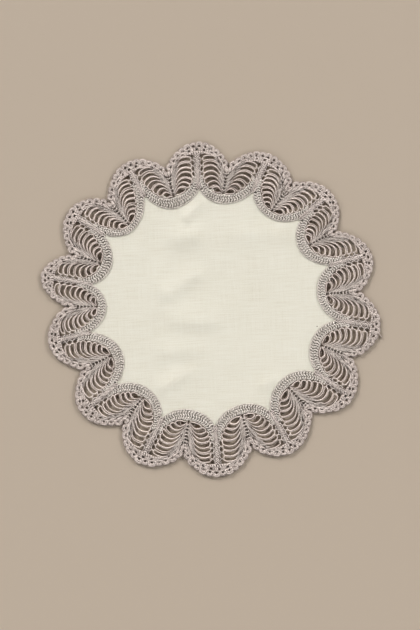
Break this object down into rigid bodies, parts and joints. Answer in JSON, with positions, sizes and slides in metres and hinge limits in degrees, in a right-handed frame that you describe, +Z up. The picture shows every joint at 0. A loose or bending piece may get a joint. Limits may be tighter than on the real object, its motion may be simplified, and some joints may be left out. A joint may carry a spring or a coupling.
{
  "type": "round linen table centre with lace border",
  "caption": "Round table cloth of plain linen with a wide scalloped border of hairpin crochet lace, open in long loops and edged with picots, lying flat on a table.",
  "frame": {"origin": "middle of the cloth's outline, on the surface it lies on", "axes": "+Z up out of the cloth's face, +Y towards the far side as the cloth is seen, +X to the right"},
  "size_m": [0.302, 0.2978, 0.0015],
  "materials": {
    "linen": "matt plain-woven linen, ivory",
    "lace": "matt twisted cotton thread, warm pinkish grey"
  },
  "bodies": {
    "root": {"linen_centre": "linen", "lace_border": "lace"}
  },
  "joints": []
}
